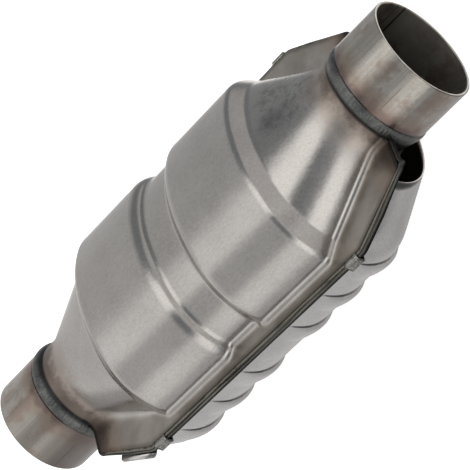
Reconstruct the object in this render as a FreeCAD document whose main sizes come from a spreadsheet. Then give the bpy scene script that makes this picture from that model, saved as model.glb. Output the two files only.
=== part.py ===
# Oval two-block catalytic converter with a ribbed heat shield, in millimetres.
# Frame: the origin is the centre of the inlet mouth. +X points straight out of that mouth along the
# pipe axis, +Y is to the left and +Z is up, away from the heat shield. The body is drawn about the
# middle of its length and every piece is then placed so that the inlet mouth lies at the origin.
import FreeCAD, Part
import Sketcher
import math
import os

DIMENSIONS = (
    # lengths along the axis, from the middle of the body outwards
    ("waist_half_length", 10.3),
    ("waist_flank", 3.7),
    ("barrel_length", 53.0),
    ("shoulder_length", 8.0),
    ("cone_length", 40.0),
    ("neck_length", 23.0),
    ("neck_lap", 5.5),
    ("pipe_length", 31.8),
    # pipes and the necks inside them
    ("pipe_diameter", 63.5),
    ("pipe_wall", 1.6),
    ("neck_clearance", 0.15),
    # oval body, outside sizes
    ("barrel_half_width", 65.0),
    ("barrel_half_height", 48.0),
    ("crown_angle", 25.0),
    ("waist_inset", 4.6),
    ("shoulder_inset", 8.0),
    ("shell_sheet", 1.5),
    # bends of the stamping, as radii on its outside
    ("neck_bend", 14.0),
    ("shoulder_foot_bend", 6.0),
    ("shoulder_bend", 5.0),
    ("barrel_bend", 8.0),
    ("waist_bend", 4.0),
    ("flange_bend", 2.5),
    # seam flange, measured from the barrel's side, the shoulder's foot and the ring weld
    ("flange_width", 7.5),
    ("flange_corner_run", 11.0),
    ("flange_corner_bend", 9.0),
    ("flange_end_gap", 0.2),
    ("flange_end_inset", 23.5),
    ("flange_end_hollow", 1.2),
    # weld along the flange edges
    ("seam_weld_width", 2.5),
    ("seam_weld_top", 0.9),
    ("seam_weld_bottom", 3.6),
    ("seam_weld_chamfer", 0.9),
    # ring welds between necks and pipes
    ("ring_weld_width", 6.3),
    ("ring_weld_recess", 0.1),
    ("ring_weld_bulge", 1.5),
    # heat shield, measured from the flange and the barrel
    ("shield_sheet", 0.9),
    ("shield_side_inset", 1.5),
    ("shield_stand_off", 7.5),
    ("shield_rim_drop", 3.0),
    ("shield_corner_inset", 3.0),
    ("shield_corner_bend", 25.0),
    ("shield_end_inset", 9.0),
    ("shield_end_taper", 21.5),
    ("shield_end_rise", 14.0),
    # ribs of the heat shield
    ("first_rib", 17.0),
    ("rib_pitch", 26.5),
    ("rib_shift", 6.0),
    ("rib_width", 17.0),
    ("rib_height", 3.0),
    ("rib_crest", 5.0),
    ("rib_foot_flat", 0.8),
    ("rib_fade_inset", 1.2),
    # tabs and lips of the heat shield
    ("tab_inset", 4.0),
    ("tab_width", 9.0),
    ("tab_reach", 6.0),
    ("tab_clearance", 0.3),
    ("lip_start", 2.0),
    ("lip_length", 30.0),
    ("lip_reach", 2.5),
    ("lip_root", 6.0),
    # ceramic blocks, mats and mesh seals, measured from the barrel's ends
    ("brick_inner_overhang", 0.4),
    ("brick_outer_overhang", 2.0),
    ("mat_thickness", 4.0),
    ("mat_clearance", 0.1),
    ("mat_inner_inset", 4.6),
    ("mat_outer_inset", 2.8),
    ("seal_length", 2.4),
    ("seal_thickness", 2.2),
    ("seal_gap", 0.8),
)

doc = FreeCAD.newDocument("CatalyticConverter")
sheet = doc.addObject("Spreadsheet::Sheet", "Sizes")
for row, (alias, value) in enumerate(DIMENSIONS, start=1):
    sheet.set("A%d" % row, alias)
    sheet.set("B%d" % row, str(value))
    sheet.setAlias("B%d" % row, alias)
doc.recompute()
size = {alias: float(getattr(sheet, alias)) for alias, value in DIMENSIONS}

pieces = []
ORIGIN = FreeCAD.Vector(0, 0, 0)
ALONG = FreeCAD.Vector(1, 0, 0)
ACROSS = FreeCAD.Vector(0, 1, 0)
UPWARD = FreeCAD.Vector(0, 0, 1)
QUARTER = math.pi / 2


def point(x, y, z):
    return FreeCAD.Vector(x, y, z)


def total(plus, minus=()):
    """Sum of some sizes less others, as a number and as an expression for the document."""
    value = sum(size[name] for name in plus) - sum(size[name] for name in minus)
    words = " + ".join("Sizes." + name for name in plus)
    words += "".join(" - Sizes." + name for name in minus)
    return value, words


TO_BARREL_START = ("waist_half_length", "waist_flank")
TO_BARREL_END = TO_BARREL_START + ("barrel_length",)
TO_FOOT = TO_BARREL_END + ("shoulder_length",)
TO_NECK = TO_FOOT + ("cone_length",)
TO_NECK_END = TO_NECK + ("neck_length",)
POSITIONS = {
    "waist_end": (("waist_half_length",), ()),
    "barrel_start": (TO_BARREL_START, ()),
    "barrel_end": (TO_BARREL_END, ()),
    "shoulder_foot": (TO_FOOT, ()),
    "neck_start": (TO_NECK, ()),
    "neck_end": (TO_NECK_END, ()),
    "pipe_start": (TO_NECK_END, ("neck_lap",)),
    "mouth": (TO_NECK_END + ("pipe_length",), ("neck_lap",)),
    "flange_corner": (TO_FOOT + ("flange_corner_run",), ()),
    "flange_end": (TO_NECK_END, ("neck_lap", "ring_weld_width", "flange_end_gap")),
    "flange_side": (("barrel_half_width", "flange_width"), ()),
    "flange_tip": (("barrel_half_width", "flange_width"), ("flange_end_inset",)),
    "brick_start": (TO_BARREL_START, ("brick_inner_overhang",)),
    "mat_start": (TO_BARREL_START + ("mat_inner_inset",), ()),
    "mat_end": (TO_BARREL_END, ("mat_outer_inset",)),
}
at = {name: total(plus, minus)[0] for name, (plus, minus) in POSITIONS.items()}
formula = {name: total(plus, minus)[1] for name, (plus, minus) in POSITIONS.items()}


def place(piece):
    """Ties a piece to the frame: the inlet mouth is at the origin."""
    piece.setExpression("Placement.Base.x", "-(%s)" % formula["mouth"])
    pieces.append(piece)


# Outlines with rounded corners

def rounding(before, corner, after, radius):
    """Start, middle and end of the arc that rounds a corner."""
    back = (before - corner).normalize()
    ahead = (after - corner).normalize()
    half = back.getAngle(ahead) / 2
    run = radius / math.tan(half)
    inward = (back + ahead).normalize()
    middle = corner + inward * (radius / math.sin(half) - radius)
    return corner + back * run, middle, corner + ahead * run


def rounded_edges(corners, radii):
    """Lines and tangent arcs through a row of corners. The first and last corner stay sharp."""
    edges = []
    start = corners[0]
    for before, corner, after, radius in zip(corners, corners[1:], corners[2:], radii):
        entry, middle, leave = rounding(before, corner, after, radius)
        edges.append(Part.LineSegment(start, entry).toShape())
        edges.append(Part.Arc(entry, middle, leave).toShape())
        start = leave
    edges.append(Part.LineSegment(start, corners[-1]).toShape())
    return edges


def chord_row(corners, radii, flats):
    """The same outline as a row of points: each bend becomes two short flats, one or a sharp corner."""
    row = [corners[0]]
    for before, corner, after, radius, count in zip(corners, corners[1:], corners[2:], radii, flats):
        entry, middle, leave = rounding(before, corner, after, radius)
        row += ([corner], [entry, leave], [entry, middle, leave])[count]
    row.append(corners[-1])
    return row


def parallel(corners, radii, distance):
    """The same row of corners moved sideways to its right by a distance, with its bends adjusted."""
    moved = []
    bends = []
    for index, corner in enumerate(corners):
        before = corners[max(index - 1, 0)]
        after = corners[min(index + 1, len(corners) - 1)]
        if index == 0:
            before = corner * 2 - after
        if index == len(corners) - 1:
            after = corner * 2 - before
        first = (corner - before).normalize()
        second = (after - corner).normalize()
        turn = first.cross(second).z
        right = point(first.y + second.y, -first.x - second.x, 0).normalize()
        stretch = distance / math.cos(first.getAngle(second) / 2)
        moved.append(corner + right * stretch)
        if 0 < index < len(corners) - 1:
            side = -1 if turn < 0 else 1
            bends.append(radii[index - 1] + side * distance)
    return moved, bends


def height_at(corners, radii, x):
    """Height of a rounded outline above a point of the axis."""
    wire = Part.Wire(rounded_edges(corners, radii))
    probe = Part.LineSegment(point(x, -1, 0), point(x, 200, 0)).toShape()
    return wire.distToShape(probe)[1][0][0].y


def closed_face(edges):
    """A flat face inside a loop of edges."""
    return Part.Face(Part.Wire(Part.__sortEdges__(edges)))


def polygon(row):
    """A closed wire through a row of points."""
    return Part.makePolygon(list(row) + [row[0]])


# The two outlines of the shell: in plan (its sides) and in elevation (its crown)

def shell_outline(barrel, neck):
    """Corners of one outline of the shell from end to end, and the radii of their bends."""
    right_half = (
        (at["waist_end"], barrel - size["waist_inset"], size["waist_bend"]),
        (at["barrel_start"], barrel, size["barrel_bend"]),
        (at["barrel_end"], barrel, size["shoulder_bend"]),
        (at["shoulder_foot"], barrel - size["shoulder_inset"], size["shoulder_foot_bend"]),
        (at["neck_start"], neck, size["neck_bend"]),
    )
    left_half = tuple((-x, y, radius) for x, y, radius in reversed(right_half))
    inner = left_half + right_half
    corners = [point(-at["neck_end"], neck, 0)]
    corners += [point(x, y, 0) for x, y, radius in inner]
    corners.append(point(at["neck_end"], neck, 0))
    return corners, [radius for x, y, radius in inner]


neck_radius = size["pipe_diameter"] / 2 - size["pipe_wall"] - size["neck_clearance"]
side_outline = shell_outline(size["barrel_half_width"], neck_radius)
crown_outline = shell_outline(size["barrel_half_height"], neck_radius)
side_inside = parallel(side_outline[0], side_outline[1], size["shell_sheet"])
crown_inside = parallel(crown_outline[0], crown_outline[1], size["shell_sheet"])
shoulder_middle = (at["barrel_end"] + at["shoulder_foot"]) / 2


# Oval sections made of a crown arc between two side arcs

def oval_radii(half_width, half_height):
    """Radius of the side arcs and of the crown arc of an oval."""
    angle = math.radians(size["crown_angle"])
    lean = math.tan(angle / 2)
    side = (half_height - half_width * lean) / (1 - lean)
    crown = half_height + (half_width - side) / math.tan(angle)
    return side, crown


def oval_half(x, half_width, half_height):
    """Upper half of an oval across the axis, as three arcs from its left end to its right end."""
    side, crown = oval_radii(half_width, half_height)
    angle = math.radians(size["crown_angle"])
    side_centre = half_width - side
    crown_centre = half_height - crown

    def on_side(turn, mirror):
        return point(x, mirror * (side_centre + side * math.cos(turn)), side * math.sin(turn))

    joint = QUARTER - angle
    left = Part.Arc(on_side(0, 1), on_side(joint / 2, 1), on_side(joint, 1))
    top = Part.Arc(on_side(joint, 1), point(x, 0, crown_centre + crown), on_side(joint, -1))
    right = Part.Arc(on_side(joint, -1), on_side(joint / 2, -1), on_side(0, -1))
    return [left.toShape(), top.toShape(), right.toShape()]


def band_section(x, outer, inner):
    """Cross-section of a half shell: an outer and an inner half oval joined at the seam plane."""
    edges = oval_half(x, outer[0], outer[1]) + oval_half(x, inner[0], inner[1])
    for mirror in (1, -1):
        rim = Part.LineSegment(point(x, mirror * outer[0], 0), point(x, mirror * inner[0], 0))
        edges.append(rim.toShape())
    return Part.Wire(Part.__sortEdges__(edges))


def spread(start, end, count):
    """Evenly spread positions from start to end, the end left out."""
    return [start + (end - start) * step / count for step in range(count)]


# Half shells

def barrels():
    """The middle of a half shell: both barrels and the waist, a bent strip swept round the oval."""
    rows = []
    for outline, flats in ((side_outline, (2, 2, 1, 1, 2, 2)), (side_inside, (0, 1, 0, 0, 1, 0))):
        end = height_at(outline[0], outline[1], shoulder_middle)
        corners = [point(-shoulder_middle, end, 0)] + outline[0][3:-3] + [point(shoulder_middle, end, 0)]
        rows.append(chord_row(corners, outline[1][2:-2], flats))
    strip = polygon(rows[0] + rows[1][::-1])
    path = Part.Wire(oval_half(0, size["barrel_half_width"], size["barrel_half_height"]))
    return path.makePipeShell([strip], True, True)


def cone():
    """One end of a half shell: from the middle of the shoulder to the start of the straight neck."""
    foot = at["shoulder_foot"]
    neck = at["neck_start"]
    run = size["neck_bend"] / 2
    stations = [shoulder_middle] + spread(foot, neck - run, 4) + [neck - run, neck, neck + run]
    sections = []
    for x in stations:
        outer = [height_at(outline[0], outline[1], x) for outline in (side_outline, crown_outline)]
        inner = [height_at(outline[0], outline[1], x) for outline in (side_inside, crown_inside)]
        sections.append(band_section(x, outer, inner))
    return Part.makeLoft(sections, True, True)


def half_neck():
    """The straight half tube at one end, which the pipe slips over."""
    start = at["neck_start"] + size["neck_bend"] / 2
    inside = neck_radius - size["shell_sheet"]
    section = band_section(start, (neck_radius, neck_radius), (inside, inside))
    return Part.Face(section).extrude(ALONG * (at["neck_end"] - start))


def foot():
    """The bend between the left wall of the stamping and its flange, as one flat strip."""
    bend = size["flange_bend"]
    top = size["shell_sheet"]
    end = at["flange_end"]
    side, crown = oval_radii(size["barrel_half_width"], size["barrel_half_height"])
    lean = side - math.sqrt(side ** 2 - (top + bend) ** 2)
    corners, radii = parallel(side_outline[0], side_outline[1], lean)
    wall = corners[0].y
    corners = [point(-end, wall, 0)] + corners[1:-1] + [point(end, wall, 0)]
    path = Part.Wire(rounded_edges(corners, radii))
    deep = wall - size["shell_sheet"] / 2
    row = [
        point(-end, wall, top + bend),
        point(-end, wall + bend, top),
        point(-end, wall + bend, top / 2),
        point(-end, deep, top / 2),
        point(-end, deep, top + bend),
    ]
    return path.makePipeShell([polygon(row)], True, True)


def flange_edge(offset):
    """Outline of the seam flange on the left side, from its front end round to its rear end."""
    end = at["flange_end"]
    start = neck_radius + size["flange_bend"] * 2
    corners = [
        point(end, start, 0),
        point(end, at["flange_tip"], 0),
        point(at["flange_corner"], at["flange_side"], 0),
    ]
    corners += [point(-place.x, place.y, 0) for place in reversed(corners)]
    bend = size["flange_corner_bend"]
    radii = [bend / 3, bend, bend, bend / 3]
    if offset:
        corners, radii = parallel(corners, radii, offset)
    return corners, radii


def flange():
    """Left half of the seam flange, from the middle of the shell's wall out to its edge."""
    corners, radii = flange_edge(0)
    end = at["flange_end"]
    row, bends = parallel(side_outline[0], side_outline[1], size["shell_sheet"] / 2)
    foot = row[0].y
    row = [point(-end, foot, 0)] + row[1:-1] + [point(end, foot, 0)]
    edges = rounded_edges(corners, radii) + rounded_edges(row, bends)
    weld_end = corners[0].y
    for x, hollow in ((-end, size["flange_end_hollow"]), (end, -size["flange_end_hollow"])):
        middle = point(x + hollow, (foot + weld_end) / 2, 0)
        edges.append(Part.Arc(point(x, foot, 0), middle, point(x, weld_end, 0)).toShape())
    return closed_face(edges).extrude(UPWARD * size["shell_sheet"])


def half_shell():
    """A whole stamping: barrels, waist, shoulders, cones, half necks and the flange round it."""
    front = cone().fuse(half_neck())
    rear = front.mirror(ORIGIN, ALONG)
    left = flange().fuse(foot())
    right = left.mirror(ORIGIN, ACROSS)
    stamping = barrels().fuse([front, rear, left, right]).removeSplitter()
    return stamping.Solids[0]


def seam_weld():
    """The weld along the edges of both flanges on the left side."""
    inner, bends = flange_edge(0)
    outer, wide_bends = flange_edge(size["seam_weld_width"])
    edges = rounded_edges(inner, bends) + rounded_edges(outer, wide_bends)
    for first, second in ((inner[0], outer[0]), (inner[-1], outer[-1])):
        edges.append(Part.LineSegment(first, second).toShape())
    face = closed_face(edges)
    face.translate(UPWARD * -size["seam_weld_bottom"])
    bar = face.extrude(UPWARD * (size["seam_weld_bottom"] + size["seam_weld_top"]))
    rim = Part.Wire(rounded_edges(outer, wide_bends))
    outside = [edge for edge in bar.Edges if abs(edge.BoundBox.ZLength) < 0.01]
    outside = [edge for edge in outside if flat_distance(edge, rim) < 0.01]
    return bar.makeChamfer(size["seam_weld_chamfer"], outside)


def flat_distance(edge, outline):
    """Distance in plan from the middle of an edge to an outline."""
    middle = edge.valueAt((edge.FirstParameter + edge.LastParameter) / 2)
    return Part.Vertex(middle.x, middle.y, 0).distToShape(outline)[0]


# Heat shield, drawn with its hollow side down and turned over when it is placed

shield_side = at["flange_side"] - size["shield_side_inset"]
shield_depth = size["barrel_half_height"] + size["shield_stand_off"]
shield_corner = at["flange_corner"] - size["shield_corner_inset"]
shield_end = at["flange_end"] - size["shield_end_inset"]


def shield_outline(half_width, end_half_width):
    """Corners and bends of one outline of the shield, from its middle to its front end."""
    corner = point(shield_corner, half_width, 0)
    end = point(shield_end, end_half_width, 0)
    past_end = end + (end - corner).normalize() * size["shield_corner_bend"]
    return [point(0, half_width, 0), corner, past_end], [size["shield_corner_bend"]]


def trough(inset):
    """The shield's form without ribs, as a solid that lies an inset inside its outer face."""
    side = shield_outline(shield_side, shield_side - size["shield_end_taper"])
    bottom = shield_outline(shield_depth, shield_depth - size["shield_end_rise"])
    side = parallel(side[0], side[1], inset)
    bottom = parallel(bottom[0], bottom[1], inset)
    run = size["shield_corner_bend"] / 3
    sections = []
    stations = [shield_corner - run, shield_corner]
    stations += spread(shield_corner + run, shield_end + inset, 3) + [shield_end + inset]
    for x in stations:
        widths = [height_at(outline[0], outline[1], x) for outline in (side, bottom)]
        edges = oval_half(x, widths[0], widths[1])
        edges.append(Part.LineSegment(point(x, -widths[0], 0), point(x, widths[0], 0)).toShape())
        sections.append(Part.Wire(Part.__sortEdges__(edges)))
    taper = Part.makeLoft(sections, True, True)
    middle = Part.Face(sections[0]).extrude(ALONG * -2 * (shield_corner - run))
    return middle.fuse([taper, taper.mirror(ORIGIN, ALONG)])


def rib_path():
    """Half ring that a rib's crest follows: parallel to the trough, then fading into its side."""
    side, crown = oval_radii(shield_side, shield_depth)
    angle = math.radians(size["crown_angle"])
    crown_centre = shield_depth - crown
    crest = crown + size["rib_height"]
    widest = shield_side - size["rib_fade_inset"]
    fade = (widest - crest * math.sin(angle)) / (1 - math.sin(angle))
    fade_y = (crest - fade) * math.sin(angle)
    fade_z = crown_centre + (crest - fade) * math.cos(angle)
    joint = QUARTER - angle

    def on_fade(turn, mirror):
        return point(0, mirror * (fade_y + fade * math.cos(turn)), fade_z + fade * math.sin(turn))

    left = Part.Arc(on_fade(0, 1), on_fade(joint / 2, 1), on_fade(joint, 1))
    top = Part.Arc(on_fade(joint, 1), point(0, 0, crown_centre + crest), on_fade(joint, -1))
    right = Part.Arc(on_fade(joint, -1), on_fade(joint / 2, -1), on_fade(0, -1))
    return Part.Wire([left.toShape(), top.toShape(), right.toShape()])


def rib(inset):
    """One rib: a narrow flat crest between two slopes, swept over the trough."""
    rise = size["rib_height"]
    crest = size["rib_crest"] / 2
    slope = (size["rib_width"] / 2 - crest) / rise
    deep = 2.5 * rise
    corners = [
        point(-crest - slope * deep, -deep, 0),
        point(-crest, 0, 0),
        point(crest, 0, 0),
        point(crest + slope * deep, -deep, 0),
    ]
    if inset:
        corners = parallel(corners, [0, 0], inset)[0]
    path = rib_path()
    start = path.Edges[0].valueAt(path.Edges[0].FirstParameter)
    return path.makePipeShell([polygon([corner + start for corner in corners])], True, True)


def rib_places():
    """Positions of the ribs along the axis: a front and a rear group, each evenly spaced."""
    front = [size["first_rib"] + size["rib_pitch"] * step for step in range(3)]
    rear = [-size["rib_shift"] - place for place in front]
    return front + rear


def ribbed_trough(inset):
    """Trough and ribs as one solid, an inset inside the outer face, with a flat foot on each rib."""
    model = rib(inset)
    ribs = []
    for x in rib_places():
        copy = model.copy()
        copy.translate(ALONG * x)
        ribs.append(copy)
    foot = shield_depth + size["rib_height"] - size["rib_foot_flat"] - inset
    below = Part.makeBox(2 * shield_end, 2 * shield_side, shield_depth, point(-shield_end, -shield_side, foot))
    return trough(inset).fuse(ribs).cut(below)


def tab():
    """A tab from the shield's rim round the edge of both flanges, drawn in the shield's own position."""
    gap = size["tab_clearance"]
    thick = size["shield_sheet"]
    out = at["flange_side"] + size["seam_weld_width"] + gap
    under = -size["seam_weld_bottom"] - gap
    over = size["shell_sheet"] + gap
    root = shield_side - thick
    tip = at["flange_side"] + size["seam_weld_width"] - size["tab_reach"]
    inner = [point(tip, over, 0), point(out, over, 0), point(out, under, 0), point(root, under, 0)]
    outer = parallel(inner, [0, 0], -thick)[0]
    outer[-1] = point(root, under - thick, 0)
    outer_row = chord_row(outer, [thick, thick], (1, 1))
    strap = Part.Face(polygon(inner + outer_row[::-1])).extrude(UPWARD * size["tab_width"])
    strap.rotate(ORIGIN, point(1, 1, 1), 120)
    middle = shield_corner - size["tab_inset"]
    strap.translate(ALONG * (middle - size["tab_width"] / 2))
    return strap


def lip():
    """A folded lip beside the left rear tab, under the slanted edge of the flange."""
    corners = flange_edge(0)[0]
    front, rear = corners[3], corners[4]
    along = (rear - front).normalize()
    outward = point(along.y, -along.x, 0)
    start = front + along * size["lip_start"]
    end = start + along * size["lip_length"]
    reach = size["seam_weld_width"] + size["lip_reach"]
    row = [start - outward * size["lip_root"], start + outward * reach]
    row += [end + outward * reach, end - outward * size["lip_root"]]
    edges = rounded_edges(row, [size["lip_reach"], size["lip_reach"]])
    edges.append(Part.LineSegment(row[-1], row[0]).toShape())
    tongue = closed_face(edges)
    tongue.translate(UPWARD * -(size["seam_weld_bottom"] + size["tab_clearance"] + size["shield_sheet"]))
    return tongue.extrude(UPWARD * size["shield_sheet"])


def heat_shield():
    """The ribbed shield with its four tabs and two lips, in its own position under the body."""
    outside = ribbed_trough(0)
    inside = ribbed_trough(size["shield_sheet"])
    for form in (outside, inside):
        form.rotate(ORIGIN, ALONG, 180)
    front_tab = tab()
    added = [lip(), front_tab, front_tab.mirror(ORIGIN, ALONG)]
    added += [extra.mirror(ORIGIN, ACROSS) for extra in added]
    drop = size["shield_rim_drop"]
    width = shield_side + size["shield_sheet"]
    length = shield_end + drop
    rim_cut = Part.makeBox(2 * length, 2 * width, 2 * drop, point(-length, -width, -drop))
    return outside.cut(rim_cut).fuse(added).cut(inside).Solids[0]


# Pieces

def add_stamping(label, shape, upside_down):
    """Adds a stamping to the document and places it."""
    piece = doc.addObject("Part::Feature", label)
    piece.Label = label
    piece.Shape = shape
    if upside_down:
        piece.Placement = FreeCAD.Placement(ORIGIN, FreeCAD.Rotation(ALONG, 180))
    place(piece)


def add_body(label, turned):
    """An empty body. A turned one is the same piece at the other end of the converter."""
    body = doc.addObject("PartDesign::Body", label)
    body.Label = label
    if turned:
        body.Placement = FreeCAD.Placement(ORIGIN, FreeCAD.Rotation(UPWARD, 180))
    place(body)
    return body


def add_sketch(body, role, shift):
    """A sketch on one of the body's own planes, moved along the plane's normal by an expression."""
    sketch = body.newObject("Sketcher::SketchObject", body.Label + "_outline")
    plane = [datum for datum in body.Origin.OriginFeatures if datum.Role == role][0]
    sketch.AttachmentSupport = (plane, "")
    sketch.MapMode = "FlatFace"
    if shift:
        sketch.setExpression("AttachmentOffset.Base.z", shift)
    return sketch


def bind(sketch, kind, geometry, value, expression):
    """Adds a dimension to a sketch and ties it to the sheet."""
    index = sketch.addConstraint(Sketcher.Constraint(kind, *geometry, value))
    sketch.setExpression("Constraints[%d]" % index, expression)


def add_pad(body, sketch, length):
    """Pads a sketch by an expression."""
    pad = body.newObject("PartDesign::Pad", body.Label + "_pad")
    pad.Profile = sketch
    pad.setExpression("Length", length)


PIPE_RADIUS = "Sizes.pipe_diameter / 2"
PIPE_BORE = "Sizes.pipe_diameter / 2 - Sizes.pipe_wall"


def add_pipe(label, turned):
    """A pipe stub that ends at the mouth."""
    body = add_body(label, turned)
    sketch = add_sketch(body, "YZ_Plane", formula["pipe_start"])
    outer = size["pipe_diameter"] / 2
    for radius, expression in ((outer, PIPE_RADIUS), (outer - size["pipe_wall"], PIPE_BORE)):
        ring = sketch.addGeometry(Part.Circle(ORIGIN, UPWARD, radius))
        sketch.addConstraint(Sketcher.Constraint("Coincident", ring, 3, -1, 1))
        bind(sketch, "Radius", (ring,), radius, expression)
    add_pad(body, sketch, "Sizes.pipe_length")


def add_ring_weld(label, turned):
    """The fillet weld round a neck, against the end of the pipe: two slopes that meet in a low crest."""
    body = add_body(label, turned)
    sketch = add_sketch(body, "XZ_Plane", None)
    end = at["pipe_start"]
    start = end - size["ring_weld_width"]
    middle = end - size["ring_weld_width"] / 2
    low = size["pipe_diameter"] / 2 - size["pipe_wall"]
    high = size["pipe_diameter"] / 2 - size["ring_weld_recess"]
    crest = (low + high) / 2 + size["ring_weld_bulge"]
    row = [point(start, low, 0), point(end, low, 0), point(end, high, 0), point(middle, crest, 0)]
    lines = []
    for first, second in zip(row, row[1:] + row[:1]):
        lines.append(sketch.addGeometry(Part.LineSegment(first, second)))
    for first, second in zip(lines, lines[1:] + lines[:1]):
        sketch.addConstraint(Sketcher.Constraint("Coincident", first, 2, second, 1))
    base, back, front, slope = lines
    sketch.addConstraint(Sketcher.Constraint("Horizontal", base))
    sketch.addConstraint(Sketcher.Constraint("Vertical", back))
    crest_height = "(%s + %s - Sizes.ring_weld_recess) / 2 + Sizes.ring_weld_bulge" % (PIPE_BORE, PIPE_RADIUS)
    bind(sketch, "DistanceX", (-1, 1, base, 2), end, formula["pipe_start"])
    bind(sketch, "DistanceX", (base, 1, base, 2), end - start, "Sizes.ring_weld_width")
    bind(sketch, "DistanceY", (-1, 1, base, 1), low, PIPE_BORE)
    bind(sketch, "DistanceY", (-1, 1, back, 2), high, PIPE_RADIUS + " - Sizes.ring_weld_recess")
    bind(sketch, "DistanceX", (front, 2, back, 2), end - middle, "Sizes.ring_weld_width / 2")
    bind(sketch, "DistanceY", (-1, 1, front, 2), crest, crest_height)
    turn = body.newObject("PartDesign::Revolution", label + "_turn")
    turn.Profile = sketch
    axis = [datum for datum in body.Origin.OriginFeatures if datum.Role == "X_Axis"][0]
    turn.ReferenceAxis = (axis, [""])
    turn.Angle = 360


SIDE_ROUND = (
    "(Sizes.barrel_half_height - Sizes.barrel_half_width * tan(Sizes.crown_angle / 2))"
    " / (1 - tan(Sizes.crown_angle / 2))"
)
CROWN_ROUND = (
    "Sizes.barrel_half_height + (Sizes.barrel_half_width - %s) / tan(Sizes.crown_angle)" % SIDE_ROUND
)


def draw_oval(sketch, inset, inset_expression):
    """A full oval parallel to the barrel's outside, an inset within it."""
    side, crown = oval_radii(size["barrel_half_width"], size["barrel_half_height"])
    side_centre = size["barrel_half_width"] - side
    crown_centre = size["barrel_half_height"] - crown
    joint = QUARTER - math.radians(size["crown_angle"])
    half_turn = math.pi
    arcs = (
        (side_centre, 0, side, -joint, joint),
        (0, crown_centre, crown, joint, half_turn - joint),
        (-side_centre, 0, side, half_turn - joint, half_turn + joint),
        (0, -crown_centre, crown, half_turn + joint, 2 * half_turn - joint),
    )
    drawn = []
    for across, up, radius, start, end in arcs:
        circle = Part.Circle(point(across, up, 0), UPWARD, radius - inset)
        drawn.append(sketch.addGeometry(Part.ArcOfCircle(circle, start, end)))
    right, top, left, bottom = drawn
    for first, second in ((right, top), (top, left), (left, bottom), (bottom, right)):
        sketch.addConstraint(Sketcher.Constraint("Tangent", first, 2, second, 1))
    sketch.addConstraint(Sketcher.Constraint("PointOnObject", right, 3, -1))
    sketch.addConstraint(Sketcher.Constraint("Symmetric", right, 3, left, 3, -1, 1))
    sketch.addConstraint(Sketcher.Constraint("Equal", right, left))
    sketch.addConstraint(Sketcher.Constraint("Equal", top, bottom))
    bind(sketch, "DistanceX", (-1, 1, right, 3), side_centre, "Sizes.barrel_half_width - " + SIDE_ROUND)
    bind(sketch, "Radius", (right,), side - inset, "%s - (%s)" % (SIDE_ROUND, inset_expression))
    bind(sketch, "Radius", (top,), crown - inset, "%s - (%s)" % (CROWN_ROUND, inset_expression))


def add_oval_ring(label, turned, start, length, outer, inner):
    """An oval block or ring between two insets of the barrel, padded from one place along the axis."""
    body = add_body(label, turned)
    sketch = add_sketch(body, "YZ_Plane", start)
    draw_oval(sketch, outer[0], outer[1])
    if inner:
        draw_oval(sketch, inner[0], inner[1])
    add_pad(body, sketch, length)


def add_barrel_contents(place_name, turned):
    """The ceramic block of one barrel with its mat and its two mesh seals."""
    mat_outer = total(("shell_sheet", "mat_clearance"))
    mat_inner = total(("shell_sheet", "mat_clearance", "mat_thickness"))
    brick_outer = total(("shell_sheet", "mat_clearance", "mat_thickness", "mat_clearance"))
    seal_outer = total(("shell_sheet", "mat_clearance", "mat_thickness"), ("seal_thickness",))
    brick_length = total(("barrel_length", "brick_inner_overhang", "brick_outer_overhang"))[1]
    mat_length = total(("barrel_length",), ("mat_inner_inset", "mat_outer_inset"))[1]
    add_oval_ring(place_name + "_brick", turned, formula["brick_start"], brick_length, brick_outer, None)
    add_oval_ring(place_name + "_mat", turned, formula["mat_start"], mat_length, mat_outer, mat_inner)
    outer_seal_start = formula["mat_end"] + " + Sizes.seal_gap"
    inner_seal_start = formula["mat_start"] + " - Sizes.seal_gap - Sizes.seal_length"
    for end, start in (("outer", outer_seal_start), ("inner", inner_seal_start)):
        label = "%s_%s_seal" % (place_name, end)
        add_oval_ring(label, turned, start, "Sizes.seal_length", seal_outer, mat_inner)


stamping = half_shell()
add_stamping("upper_shell", stamping, False)
add_stamping("lower_shell", stamping.copy(), True)
left_weld = seam_weld()
add_stamping("seam_weld_left", left_weld, False)
add_stamping("seam_weld_right", left_weld.mirror(ORIGIN, ACROSS), False)
add_stamping("heat_shield", heat_shield(), False)
for end, turned in (("inlet", False), ("outlet", True)):
    add_pipe(end + "_pipe", turned)
    add_ring_weld(end + "_weld", turned)
add_barrel_contents("front", False)
add_barrel_contents("rear", True)
doc.recompute()

for item in doc.Objects:
    if "Invalid" in item.State or "Error" in item.State:
        raise RuntimeError("%s did not build: %s" % (item.Name, item.State))
for piece in pieces:
    if piece.Shape.isNull() or not piece.Shape.isValid():
        raise RuntimeError("%s has no valid shape" % piece.Label)

os.makedirs("parts", exist_ok=True)
for piece in pieces:
    piece.Shape.exportStep(os.path.join("parts", piece.Label + ".step"))
    box = piece.Shape.BoundBox
    print("%-18s %9.0f mm3  z %6.1f to %6.1f" % (piece.Label, piece.Shape.Volume, box.ZMin, box.ZMax))
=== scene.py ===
"""Catalytic converter: looks, camera and light. Metres, in the CAD model's frame."""
import cmath
import math

import bpy
import numpy as np
from mathutils import Matrix, Vector


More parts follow.
